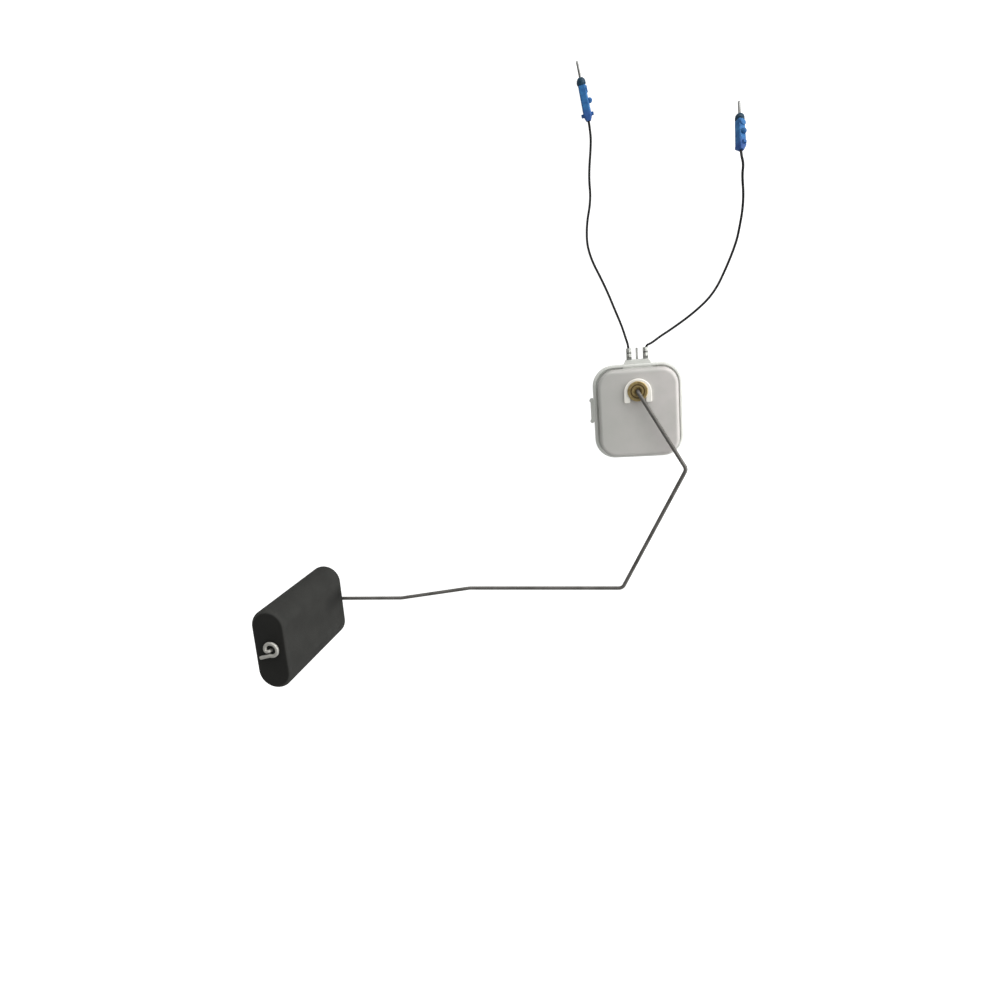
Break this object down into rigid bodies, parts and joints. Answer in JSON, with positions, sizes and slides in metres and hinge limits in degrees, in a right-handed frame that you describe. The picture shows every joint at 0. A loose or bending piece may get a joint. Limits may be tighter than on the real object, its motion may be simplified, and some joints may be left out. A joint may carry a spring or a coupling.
{
  "type": "fuel level sender",
  "caption": "Swing-arm fuel level sender: flat plastic housing with brass pivot bush, bent wire arm carrying a foam float, and leads with plug-in pins.",
  "frame": {"origin": "where the arm's pivot axis meets the flat back of the housing", "axes": "+Z along the pivot axis out of the cover, +Y towards the terminals, +X to the right seen from the front; the sender lies on its back"},
  "size_m": [0.2316, 0.2676, 0.0681],
  "materials": {
    "housing_plastic": "matte, natural acetal",
    "cover_plastic": "matte, natural acetal",
    "bush_brass": "turned",
    "clip_white": "satin",
    "arm_steel": "drawn wire",
    "float_foam": "fine closed-cell foam skin",
    "lead_black": "satin insulation",
    "connector_blue": "satin moulded",
    "collar_navy": "moulded",
    "contact_steel": "plated",
    "terminal_tin": "tinned",
    "card_ceramic": "fired alumina",
    "track_print": "printed resistor film"
  },
  "bodies": {
    "housing": {"housing_base": "housing_plastic", "housing_cover": "cover_plastic", "pivot_bush": "bush_brass", "bush_clip": "clip_white", "resistor_card": "card_ceramic", "resistor_track": "track_print", "collector_track": "contact_steel", "terminal_left": "terminal_tin", "terminal_middle": "terminal_tin", "terminal_right": "terminal_tin", "lead_left": "lead_black", "lead_right": "lead_black", "connector_body_left": "connector_blue", "connector_body_right": "connector_blue", "connector_collar_left": "collar_navy", "connector_collar_right": "collar_navy", "contact_pin_left": "contact_steel", "contact_pin_right": "contact_steel"},
    "arm": {"float_arm": "arm_steel", "rotor": "cover_plastic", "thrust_washer": "clip_white", "wiper_spring": "bush_brass", "contact_stud_inner": "contact_steel", "contact_stud_outer": "contact_steel"},
    "float": {"float": "float_foam"}
  },
  "joints": [
    {"name": "arm_swing", "type": "hinge", "parent": "housing", "child": "arm", "pos_m": [0, 0, 0], "axis": [0, 0, 1], "range_deg": [-72, 18]},
    {"name": "float_spin", "type": "hinge", "parent": "arm", "child": "float", "pos_m": [-0.17425, -0.10522, 0.0341], "axis": [0, 0, 1], "continuous": true}
  ]
}
